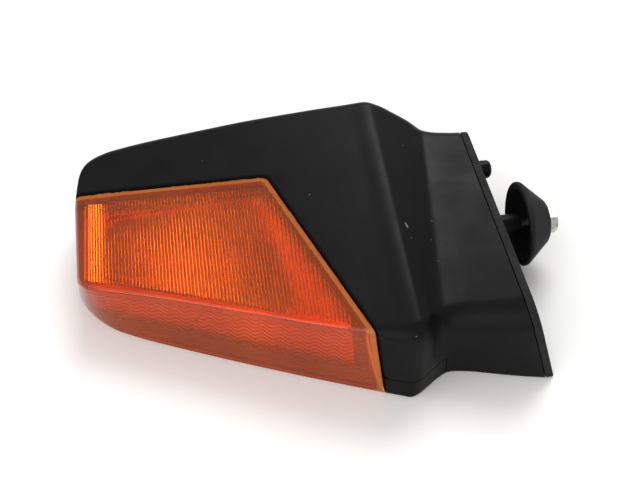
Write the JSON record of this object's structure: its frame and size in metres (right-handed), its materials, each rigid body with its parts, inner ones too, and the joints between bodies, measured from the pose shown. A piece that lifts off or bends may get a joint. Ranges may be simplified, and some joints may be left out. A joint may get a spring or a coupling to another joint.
{
  "type": "motorcycle turn signal lamp",
  "caption": "Flush-mounted motorcycle turn signal: amber wrap-around lens in a black shell, bayonet bulb, gasketed flange and rubber cone clamp on a hex bolt.",
  "frame": {"origin": "under the middle of the lamp's box, on the plane that the rear cover rests on", "axes": "+X along the mounting stud, away from the lens tip; +Y away from the side lens; +Z out through the large lens face"},
  "size_m": [0.1758, 0.108, 0.0456],
  "materials": {
    "black_abs": "fine moulded grain, satin",
    "amber_acrylic": "transparent amber, prismatic ribs inside",
    "rubber": "matt black",
    "silvered_plastic": "vacuum metallised",
    "bulb_glass": "clear blown glass",
    "tungsten": "drawn wire",
    "nickel_plate": "drawn and nickel plated",
    "solder": "soldered tip",
    "zinc_steel": "bright zinc plate",
    "spring_steel": "coiled wire",
    "brass": "stamped",
    "fibre": "pressed fibre board"
  },
  "bodies": {
    "lamp": {"housing": "black_abs", "rear_cover": "black_abs", "lens": "amber_acrylic", "lens_seal": "rubber", "reflector": "silvered_plastic", "bulb_holder": "zinc_steel", "holder_bracket": "black_abs", "contact_spring": "spring_steel", "insulator_disc": "fibre", "live_terminal": "brass", "earth_terminal": "brass", "mount_plate": "black_abs", "threaded_insert": "brass", "mounting_gasket": "rubber", "locating_peg": "black_abs", "lead_grommet": "rubber", "cover_screw_1": "zinc_steel", "cover_screw_2": "zinc_steel", "cover_screw_3": "zinc_steel", "cover_screw_4": "zinc_steel", "lens_screw_1": "zinc_steel", "reflector_screw_1": "zinc_steel", "lens_screw_2": "zinc_steel", "reflector_screw_2": "zinc_steel", "plate_screw_1": "zinc_steel", "plate_screw_2": "zinc_steel", "plate_screw_3": "zinc_steel"},
    "contact": {"contact_button": "brass"},
    "bulb": {"bulb_glass": "bulb_glass", "bulb_filament": "tungsten", "bulb_cap": "nickel_plate", "bulb_tip": "solder"},
    "damper": {"damper_cone": "rubber", "damper_collar": "zinc_steel", "bolt_washer": "zinc_steel"},
    "bolt": {"mount_bolt": "zinc_steel"}
  },
  "joints": [
    {"name": "contact_press", "type": "slide", "parent": "lamp", "child": "contact", "axis": [1, 0, 0], "range_m": [0, 0.0012], "stiffness_N_per_m": 600, "springref_m": -0.004, "deforming": ["contact_spring"]},
    {"name": "bulb_turn", "type": "hinge", "parent": "contact", "child": "bulb", "pos_m": [0.00038, -0.00294, 0.0158], "axis": [1, 0, 0], "range_deg": [0, 30]},
    {"name": "damper_slide", "type": "slide", "parent": "lamp", "child": "damper", "axis": [1, 0, 0], "range_m": [0, 0.0096]},
    {"name": "bolt_turn", "type": "hinge", "parent": "damper", "child": "bolt", "pos_m": [0.08038, 0.00416, 0.0174], "axis": [1, 0, 0], "range_deg": [0, 4320]}
  ],
  "couplings": [
    {"joint": "bolt_turn", "follows": "damper_slide", "rad_per_m": 7854}
  ]
}
